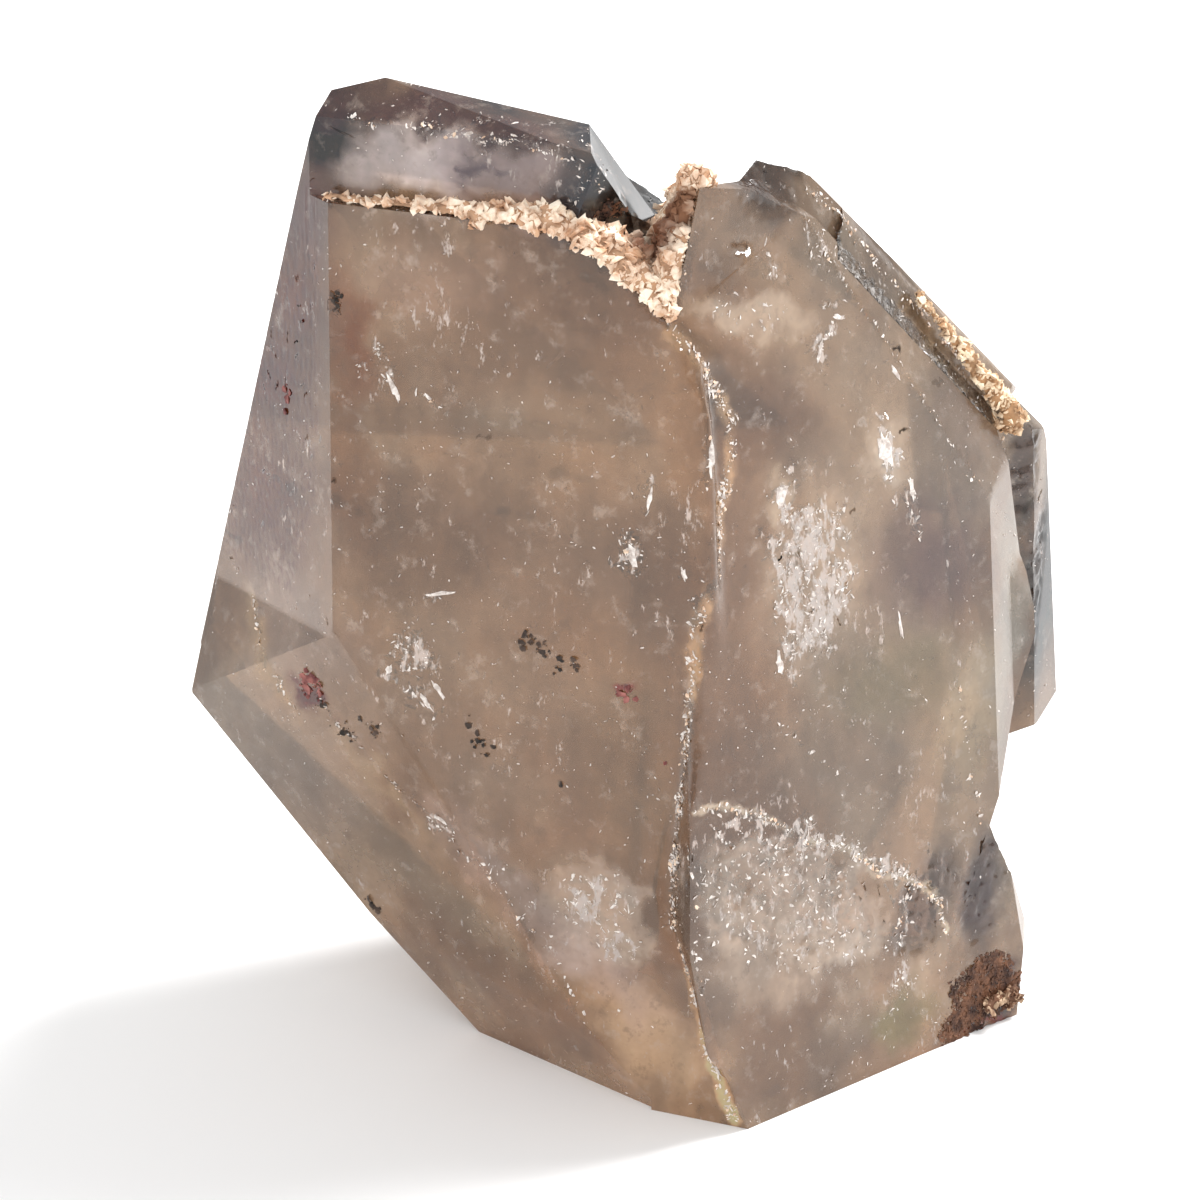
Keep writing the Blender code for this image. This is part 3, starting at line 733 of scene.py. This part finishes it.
def scatterTree():
    tree = bpy.data.node_groups.new("scatter_shards", "GeometryNodeTree")
    kinds = (("Bed", "Geometry"), ("Shards", "Collection"), ("Density", "Float"), ("Smallest", "Float"),
             ("Largest", "Float"), ("Thinness", "Float"), ("Length", "Float"), ("Lean", "Float"),
             ("Shallow", "Float"), ("Deep", "Float"), ("Seed", "Int"), ("Finish", "Material"))
    for name, kind in kinds:
        tree.interface.new_socket(name, in_out="INPUT", socket_type="NodeSocket" + kind)
    tree.interface.new_socket("Geometry", in_out="OUTPUT", socket_type="NodeSocketGeometry")
    given = tree.nodes.new("NodeGroupInput").outputs
    share = addNode(tree, "GeometryNodeInputNamedAttribute", [("Name", "flakeDensity")], data_type="FLOAT")
    thick = addNode(tree, "ShaderNodeMath", [(0, given["Density"]), (1, share.outputs["Attribute"])],
                    operation="MULTIPLY").outputs[0]
    spots = addNode(tree, "GeometryNodeDistributePointsOnFaces", [
        ("Mesh", given["Bed"]), ("Density", thick), ("Seed", given["Seed"])])
    sink = addNode(tree, "FunctionNodeRandomValue", [
        (2, given["Shallow"]), (3, given["Deep"]), ("Seed", 11)], data_type="FLOAT").outputs[1]
    down = addNode(tree, "ShaderNodeMath", [(0, sink), (1, -1.0)], operation="MULTIPLY").outputs[0]
    offset = addNode(tree, "ShaderNodeVectorMath", [
        (0, spots.outputs["Normal"]), ("Scale", down)], operation="SCALE").outputs[0]
    placed = addNode(tree, "GeometryNodeSetPosition", [
        ("Geometry", spots.outputs["Points"]), ("Offset", offset)]).outputs[0]
    lean = addNode(tree, "ShaderNodeMath", [(0, given["Lean"]), (1, -1.0)], operation="MULTIPLY").outputs[0]
    low = addNode(tree, "ShaderNodeCombineXYZ", [(0, lean), (1, lean), (2, -math.pi)]).outputs[0]
    high = addNode(tree, "ShaderNodeCombineXYZ", [
        (0, given["Lean"]), (1, given["Lean"]), (2, math.pi)]).outputs[0]
    spin = addNode(tree, "FunctionNodeRandomValue", [(0, low), (1, high), ("Seed", 12)],
                   data_type="FLOAT_VECTOR").outputs[0]
    turned = addNode(tree, "FunctionNodeRotateRotation", [
        ("Rotation", spots.outputs["Rotation"]), ("Rotate By", spin)], rotation_space="LOCAL").outputs[0]
    size = addNode(tree, "FunctionNodeRandomValue", [
        (2, 0.0), (3, 1.0), ("Seed", 13)], data_type="FLOAT").outputs[1]
    small = addNode(tree, "ShaderNodeMath", [(0, size), (1, 2.2)], operation="POWER").outputs[0]
    radius = addNode(tree, "ShaderNodeMapRange", [
        ("Value", small), ("To Min", given["Smallest"]), ("To Max", given["Largest"])]).outputs[0]
    shape = addNode(tree, "ShaderNodeCombineXYZ", [(0, given["Length"]), (1, 1.0), (2, given["Thinness"])])
    scale = addNode(tree, "ShaderNodeVectorMath", [(0, shape.outputs[0]), ("Scale", radius)],
                    operation="SCALE").outputs[0]
    kit = addNode(tree, "GeometryNodeCollectionInfo", [
        ("Collection", given["Shards"]), ("Separate Children", True), ("Reset Children", True)])
    laid = addNode(tree, "GeometryNodeInstanceOnPoints", [
        ("Points", placed), ("Instance", kit.outputs[0]), ("Pick Instance", True), ("Rotation", turned),
        ("Scale", scale)]).outputs[0]
    real = addNode(tree, "GeometryNodeRealizeInstances", [("Geometry", laid)]).outputs[0]
    done = addNode(tree, "GeometryNodeSetMaterial", [("Geometry", real), ("Material", given["Finish"])])
    tree.links.new(done.outputs[0], tree.nodes.new("NodeGroupOutput").inputs[0])
    return tree


shardTree = scatterTree()


def scatter(name, bedMesh, share, slot, **sizes):
    # share is how thickly each point of the bed is strewn, 0 to 1; sizes are the tree's inputs, in mm
    bed = newObject(name + "_bed", bedMesh.copy())
    bed.data.materials.clear()
    writeValue(bed.data, "flakeDensity", share)
    modifier = bed.modifiers.new("scatter", "NODES")
    modifier.node_group = shardTree
    for item in shardTree.interface.items_tree:
        if item.in_out == "INPUT" and item.name in sizes:
            inMm = item.name in ("Smallest", "Largest", "Shallow", "Deep")
            modifier[item.identifier] = sizes[item.name] * mm if inMm else sizes[item.name]
    bpy.context.view_layer.update()
    evaluated = bed.evaluated_get(bpy.context.evaluated_depsgraph_get())
    mesh = bpy.data.meshes.new_from_object(evaluated)
    mesh.name = name
    bpy.data.objects.remove(bed)
    for attribute in [a.name for a in mesh.attributes if a.name in ("flakeDensity", "tone", "veil")]:
        mesh.attributes.remove(mesh.attributes[attribute])
    piece = newObject(name, mesh)
    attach(piece, "root")
    print(name, len(mesh.polygons), "faces")
    return piece


def plainMineral(name, pale, deep, scale, roughnessRange, stainsAndShade=()):
    # stainsAndShade: where the darker patches sit, their reach in metres and their colour; a hollow's brown
    # patch also holds the painted shadow under its overhang
    material, tree, shader = newMaterial(name)
    place = addNode(tree, "ShaderNodeTexCoord").outputs["Object"]
    broad = noiseNode(tree, place, scale, 4.0, 0.65)
    colour = mixColour(tree, rangeNode(tree, broad, 0.38, 0.62), (*pale, 1.0), (*deep, 1.0))
    for middle, reach, darker in stainsAndShade:
        away = addNode(tree, "ShaderNodeVectorMath", [(0, place), (1, middle)], operation="DISTANCE")
        share = rangeNode(tree, away.outputs["Value"], reach * 1.25, reach * 0.7, 0.0, 0.93)
        colour = mixColour(tree, share, colour, (*darker, 1.0))
    tree.links.new(colour, shader.inputs["Base Color"])
    tree.links.new(rangeNode(tree, broad, 0.3, 0.7, *roughnessRange), shader.inputs["Roughness"])
    bump = addNode(tree, "ShaderNodeBump", [
        ("Height", noiseNode(tree, place, scale * 5, 3.0)), ("Strength", 0.25), ("Distance", 0.0002)])
    tree.links.new(bump.outputs["Normal"], shader.inputs["Normal"])
    return material


veils = {
    "shards": shardSet("shard", 4, 0.55, 3),
    "grains": shardSet("grain", 4, 0.25, 8),
    "spots": onFaces(  # across, up, half sizes, turn, thickness
        0, "rightFront", (13.4, 53.5, 4.6, 8.4, -11, 0.85), (10.2, 62.0, 1.2, 2.4, -14, 1.1),
        (13.2, 57.0, 1.8, 3.2, -5, 1.15), (14.5, 49.5, 2.0, 3.4, -20, 1.1),
        (9.0, 57.0, 0.7, 5.0, 4, 0.9), (9.6, 45.6, 1.3, 2.2, 10, 0.7), (23.6, 64.1, 1.5, 3.2, 12, 1.0),
        (16.2, 75.8, 0.8, 1.7, -20, 1.0), (18.9, 78.6, 1.6, 0.5, -20, 0.9),
        (17.6, 84.5, 1.2, 5.0, 26, 0.45), (11.0, 84.5, 1.4, 2.6, 30, 0.5),
        (8.2, 81.2, 6.0, 1.0, -18, 0.25), (26.5, 56.5, 1.0, 3.0, 15, 0.5),
        (7.0, 21.5, 13.0, 6.0, -33, 0.42), (2.0, 31.0, 5.0, 0.8, -32, 0.9),
        (11.0, 27.5, 5.5, 0.9, -27, 0.9), (20.0, 21.5, 6.0, 1.0, -40, 0.9),
        (21.5, 12.0, 1.2, 6.0, -20, 0.6), "leftFront", (-36.0, 45.1, 3.0, 2.0, -35, 0.8),
        (-34.8, 39.8, 1.8, 0.6, -50, 1.0), (-38.8, 42.4, 1.2, 1.2, 30, 0.9),
        (-33.2, 51.2, 2.0, 0.5, 15, 0.7), (-33.0, 26.8, 1.7, 0.5, -25, 1.0),
        (-13.6, 58.3, 1.0, 1.8, 15, 1.0), (-12.5, 64.0, 0.7, 2.8, -5, 0.7),
        (-16.4, 21.0, 4.4, 4.6, -20, 0.5), (-17.6, 21.4, 1.8, 2.2, -10, 1.1),
        (-14.0, 17.6, 0.8, 2.6, 20, 0.8), (-39.5, 73.0, 0.9, 3.6, 22, 0.6), "lowerLeft",
        (-24.0, 22.0, 11.0, 1.2, -36, 0.35), "crownFront", (-33.0, 96.6, 9.0, 0.5, -3, 0.5),
        (-22.0, 96.2, 3.5, 0.5, -14, 0.5), (-19.5, 93.6, 2.2, 0.7, 35, 0.3)),
}
veilWhite = plainMineral("fracture_white", (0.84, 0.78, 0.73), (0.42, 0.35, 0.31), 1500.0, (0.25, 0.5))
seamCream = plainMineral("seam_cream", (0.88, 0.7, 0.54), (0.6, 0.4, 0.28), 700.0, (0.6, 0.9))


def spotShare(places, spots, ragged, seed):
    shifted = places + wander(places, 1.8 * mm, 3, seed) * ragged * mm
    total = np.zeros(len(places))
    for face, across, up, halfWide, halfHigh, turn, thickness in spots:
        reach = localParts(shifted, face, across, up, halfWide, halfHigh, turn, 3.0)
        total = np.maximum(total, thickness * smooth(1.08, 0.88, reach))
    return total


faceDown = normals(stoneMesh)[:, 2] < -0.8
veilShare = spotShare(stonePlaces, veils["spots"], 1.6, 21) * ~faceDown
hiddenSides = smooth(-0.1, -0.5, -normals(stoneMesh)[:, 1])  # more veils on the faces that look away
wild = smooth(0.36, 0.6, noiseAt(stonePlaces, 8 * mm, 5, 31)) * 0.6
writeValue(stoneMesh, "veil", np.maximum(veilShare, wild * (0.55 + 0.45 * hiddenSides)))
scatter("fracture_veils", stoneMesh, veilShare, "smoky_quartz", Shards=veils["shards"], Density=17.0e6,
        Smallest=0.02, Largest=0.26, Thinness=0.12, Length=3.4, Lean=0.5, Shallow=-0.01,
        Deep=0.2, Seed=4, Finish=veilWhite)
dustShare = 0.25 + 0.75 * smooth(-0.1, 0.4, noiseAt(stonePlaces, 6 * mm, 3, 41))
scatter("quartz_dust", stoneMesh, dustShare * ~faceDown, "smoky_quartz", Shards=veils["grains"],
        Density=1.2e6, Smallest=0.03, Largest=0.13, Thinness=0.4, Length=2.8, Lean=0.6, Shallow=-0.01,
        Deep=0.12, Seed=9, Finish=veilWhite)
iron = {  # piece: pale and deep colour, density per square metre, largest flake and lift in mm, spots
    "red_inclusions": ((0.34, 0.12, 0.1), (0.1, 0.02, 0.02), 9.0e6, 0.7, 0.12, onFaces(
        0, "lowerBevel", (-47.6, 38.6, 1.7, 1.9, 0, 0.9), "leftFront", (-14.0, 44.3, 0.8, 0.5, 15, 1.0),
        (-9.4, 37.0, 0.5, 0.5, 0, 0.7), "leftFlank", (-47.6, 66.1, 0.8, 1.2, 0, 0.3))),
    "dark_specks": ((0.07, 0.04, 0.026), (0.012, 0.008, 0.006), 12.0e6, 0.5, 0.16, onFaces(
        0, "lowerBevel", (-46.4, 37.6, 0.8, 1.6, 30, 0.5), (-43.6, 34.6, 2.0, 0.8, 5, 0.6),
        (-40.4, 36.6, 1.0, 0.7, 0, 0.6), "leftFront", (-22.8, 47.4, 1.3, 0.5, -25, 1.0),
        (-20.7, 46.3, 0.5, 0.9, 15, 0.7), (-18.9, 46.3, 0.6, 0.6, 0, 0.9),
        (-21.0, 33.9, 0.6, 0.5, 0, 0.9), (-30.0, 38.2, 0.6, 1.5, 0, 0.3),
        (-28.6, 36.0, 1.2, 0.5, 0, 0.4), (-44.4, 79.5, 0.6, 0.9, 0, 1.0), "leftFlank",
        (-44.3, 75.8, 1.2, 0.7, 0, 0.3), "lowerLeft", (-44.2, 14.0, 1.2, 0.6, -40, 0.8))),
    "rust_skin": ((0.17, 0.07, 0.032), (0.035, 0.014, 0.009), 40.0e6, 0.45, 0.04, onFaces(
        0, "rightFront", (32.2, 4.4, 4.6, 3.6, 0, 1.0), (28.8, 1.4, 3.4, 1.8, 0, 0.9), "crownFront",
        (-16.4, 90.4, 3.2, 2.2, 0, 0.45))),
}
for name, (pale, deep, density, largest, lift, spots) in iron.items():
    finish = plainMineral(name + "_finish", pale, deep, 600.0, (0.6, 0.85))
    scatter(name, stoneMesh, spotShare(stonePlaces, spots, 0.7, 51) * ~faceDown, "rusty_druse",
            Shards=veils["shards"], Density=density, Smallest=0.08, Largest=largest, Thinness=0.3,
            Length=1.4, Lean=0.5, Shallow=-lift, Deep=0.02, Seed=5, Finish=finish)


# seams and cracks: narrow beds that follow the stone, strewn with flakes
def ribbonBed(name, seed):
    draw = random.Random(seed)
    bm = bmesh.new()
    shares = []
    for halfWidth, thickness, path in lines.values():
        stops = [facePoint(*stop) for stop in path]
        rail = []
        for first, second in zip(stops, stops[1:]):
            count = max(1, round((second - first).length / mm))
            rail += [first.lerp(second, step / count) for step in range(count)]
        rail.append(stops[-1])
        before = None
        for index, place in enumerate(rail):
            stray = Vector([draw.uniform(-0.4, 0.4) for axis in range(3)]) * mm
            spot, outward = stoneTree.find_nearest(place + stray)[:2]
            along = rail[min(index + 1, len(rail) - 1)] - rail[max(index - 1, 0)]
            aside = outward.cross(along).normalized() * halfWidth * draw.uniform(0.3, 1.3) * mm
            pair = [bm.verts.new(stoneTree.find_nearest(spot + side)[0]) for side in (aside, -aside)]
            shares += [thickness * draw.uniform(0.25, 1.0)] * 2
            if before:
                bm.faces.new((before[0], before[1], pair[1], pair[0]))
            before = pair
    return meshFrom(name, bm), np.array(shares)


blades = onFaces(  # across, up, half sizes in mm, turn: the larger single fracture plates
    0, "leftFront", (-6.0, 68.6, 0.45, 2.6, 3), (-13.6, 58.3, 0.5, 1.3, 12),
    (-12.0, 64.2, 0.25, 1.5, -8), (-33.2, 27.0, 1.3, 0.35, -25), (-33.4, 41.4, 0.3, 1.2, 35),
    (-34.6, 39.8, 1.0, 0.3, -50), (-38.6, 42.6, 0.3, 0.9, -30), (-33.2, 51.4, 1.6, 0.22, 15),
    (-38.2, 71.5, 0.35, 1.8, 24), (-8.4, 57.2, 0.3, 0.9, 20), "rightFront", (16.2, 75.8, 0.3, 1.4, -20),
    (18.9, 78.4, 0.9, 0.3, -20), (10.1, 62.6, 0.75, 1.5, -10), (23.4, 64.3, 0.9, 2.4, 12),
    (26.6, 59.5, 0.4, 1.7, 10), (8.4, 46.4, 0.5, 1.3, 8), (25.4, 71.5, 0.25, 1.3, 30),
    (24.0, 46.0, 0.2, 1.6, 5))


def bladeMesh(name, seed, thickness=0.07, corners=13):
    draw = random.Random(seed)
    bm = bmesh.new()
    for face, across, up, halfWide, halfHigh, turn in blades:
        spot, outward = stoneTree.find_nearest(facePoint(face, across, up))[:2]
        right, rise = faceAxes(face)[1:3]
        lean = math.radians(turn)
        layers = []
        for lift in (thickness, -thickness):
            layers.append([bm.verts.new(spot + outward * lift * mm)])
        for index in range(corners):
            angle = math.tau * index / corners
            reach = draw.uniform(0.45, 1.15)
            wide, high = halfWide * math.cos(angle) * reach, halfHigh * math.sin(angle) * reach
            aside = right * (wide * math.cos(lean) - high * math.sin(lean))
            aside += rise * (wide * math.sin(lean) + high * math.cos(lean))
            for layer, lift in zip(layers, (0.35 * thickness, -thickness)):
                layer.append(bm.verts.new(spot + (aside + outward * lift) * mm))
        for index in range(1, corners + 1):
            after = index % corners + 1
            top, under = layers
            bm.faces.new((top[0], top[index], top[after]))
            bm.faces.new((under[0], under[after], under[index]))
            bm.faces.new((top[after], top[index], under[index], under[after]))
    bmesh.ops.recalc_face_normals(bm, faces=bm.faces[:])
    return meshFrom(name, bm)


plates = newObject("fracture_plates", bladeMesh("fracture_plates", 23))
plates.data.materials.append(veilWhite)
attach(plates, "root")
seamBed, seamShare = ribbonBed("seam_bed", 17)
scatter("crack_flakes", seamBed, seamShare, "smoky_quartz", Shards=veils["shards"], Density=32.0e6,
        Smallest=0.03, Largest=0.28, Thinness=0.2, Length=2.8, Lean=0.5, Shallow=-0.03,
        Deep=0.15, Seed=14, Finish=veilWhite)
scatter("seam_crumbs", seamBed, seamShare * (seamShare > 0.35), "cream_crust", Shards=veils["grains"],
        Density=6.0e6, Smallest=0.05, Largest=0.34, Thinness=0.6, Length=1.4, Lean=1.0,
        Shallow=-0.06, Deep=0.08, Seed=15, Finish=seamCream)

# crusts: crumbly grains on the modelled beds
# the brown of the hollow at the back of the notch, with the painted shadow under the overhang in it
cavity = [  # places in metres, reach and colour of the brown hollow
    (facePoint("crownFront", -12.4, 89.2, 2.9), 3.0 * mm, (0.15, 0.055, 0.024)),
    (facePoint("crownFront", -14.4, 86.9, 3.6), 2.4 * mm, (0.19, 0.075, 0.035)),
    (facePoint("crownFront", -11.0, 91.6, 2.6), 1.8 * mm, (0.2, 0.085, 0.04))]
# the last column holds the stains and the painted shade of the hollow
crusts = {  # bed node: slot, pale and deep colour, grain sizes and swelling in mm, stains
    "notch_crust": ("cream_crust", (0.97, 0.85, 0.7), (0.6, 0.36, 0.22), 0.2, 1.0, 0.35, cavity),
    "crevice_crust": ("ochre_crust", (0.9, 0.76, 0.56), (0.42, 0.23, 0.11), 0.14, 0.7, -0.1, []),
    "corner_druse": ("rusty_druse", (0.62, 0.45, 0.3), (0.16, 0.07, 0.035), 0.1, 0.6, -0.35, []),
}
# bedShade is the painted shade of the bed that shows between the grains
crustForm = {  # mesh size, lumps and their width in mm, darkness of the bed, and where the crust thins out
    "cell": 0.7,
    "lump": 0.3,
    "lumpSize": 1.1,
    "bedShade": 0.55,
    "thinning": (-24.0, -8.0),
}
for node, (slot, pale, deep, small, large, grown, stainsAndShade) in crusts.items():
    bm = bmesh.new()
    bm.from_mesh(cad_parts[node].data)
    bmesh.ops.remove_doubles(bm, verts=bm.verts[:], dist=0.01 * mm)
    refine(bm, lambda middles: np.full(len(middles), crustForm["cell"] * mm))
    for face in bm.faces:
        face.smooth = True
    mesh = meshFrom(node + "_body", bm)
    places = points(mesh)
    lumps = np.clip(noiseAt(places, crustForm["lumpSize"] * mm, 4, 61), -1, 1)
    fullness = smooth(*inMetres(crustForm["thinning"]), places[:, 0])
    swell = crustForm["lump"] * lumps * (0.4 + 0.6 * fullness) + grown * (2.0 * fullness - 1.0)
    movePoints(mesh, places + normals(mesh) * (swell * mm)[:, None])
    finish = plainMineral(node + "_pale", pale, deep, 420.0, (0.7, 0.95), stainsAndShade)
    # painted shade: the bed between the grains is the deep colour darkened by bedShade
    shade = np.array(deep) * crustForm["bedShade"]
    mesh.materials.append(plainMineral(node + "_deep", deep, shade, 420.0, (0.8, 0.95), stainsAndShade))
    body = newObject(node + "_body", mesh)
    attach(body, "root")
    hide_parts(node)
    scatter(node + "_grains", mesh, 0.2 + 0.8 * fullness, slot, Shards=veils["shards"], Density=5.0e6,
            Smallest=small, Largest=large, Thinness=0.8, Length=1.2, Lean=1.5, Shallow=-0.1,
            Deep=0.15, Seed=6, Finish=finish)
print("crusts finished")

# floor, light and camera
stage = {
    "floor": (0.92, 0.92, 0.92, 1.0),
    "floorSize": 6.0,
    "sky": 0.94,
    "lights": {  # place, target, width in metres and power in watts
        "key_light": ((0.45, 0.35, 0.75), (0.0, 0.0, 0.04), 0.35, 14.0),
        "front_light": ((-0.25, -0.8, 0.7), (0.0, 0.0, 0.05), 0.6, 2.0),
    },
    "lens": 126.0,
    "sensor": 36.0,
    "cameraFrom": (-14.55, -356.06, 215.68),  # from the front foot corner, mm
    "cameraTilt": 66.0,
}
bm = bmesh.new()
bmesh.ops.create_grid(bm, x_segments=1, y_segments=1, size=stage["floorSize"])
floor = newObject("floor", meshFrom("floor", bm))
floorMaterial, tree, shader = newMaterial("floor_paper", Base_Color=stage["floor"], Roughness=0.9)
floor.data.materials.append(floorMaterial)

world = bpy.data.worlds.new("studio")
world.use_nodes = True
world.node_tree.nodes["Background"].inputs["Color"].default_value = (1.0, 1.0, 1.0, 1.0)
world.node_tree.nodes["Background"].inputs["Strength"].default_value = stage["sky"]
bpy.context.scene.world = world


def areaLight(name, place, target, size, power):
    data = bpy.data.lights.new(name, "AREA")
    data.shape = "SQUARE"
    data.size = size
    data.energy = power
    lamp = bpy.data.objects.new(name, data)
    lamp.location = place
    lamp.rotation_euler = (Vector(target) - Vector(place)).to_track_quat("-Z", "Y").to_euler()
    bpy.context.scene.collection.objects.link(lamp)


for name, values in stage["lights"].items():
    areaLight(name, *values)

camera = bpy.data.objects.new("camera", bpy.data.cameras.new("camera"))
camera.data.sensor_width = stage["sensor"]
camera.data.lens = stage["lens"]
camera.location = (Vector(stage["cameraFrom"]) + frontFoot) * mm
camera.rotation_euler = (math.radians(stage["cameraTilt"]), 0.0, 0.0)
bpy.context.scene.collection.objects.link(camera)
bpy.context.scene.camera = camera
bpy.context.scene.view_settings.view_transform = "Standard"
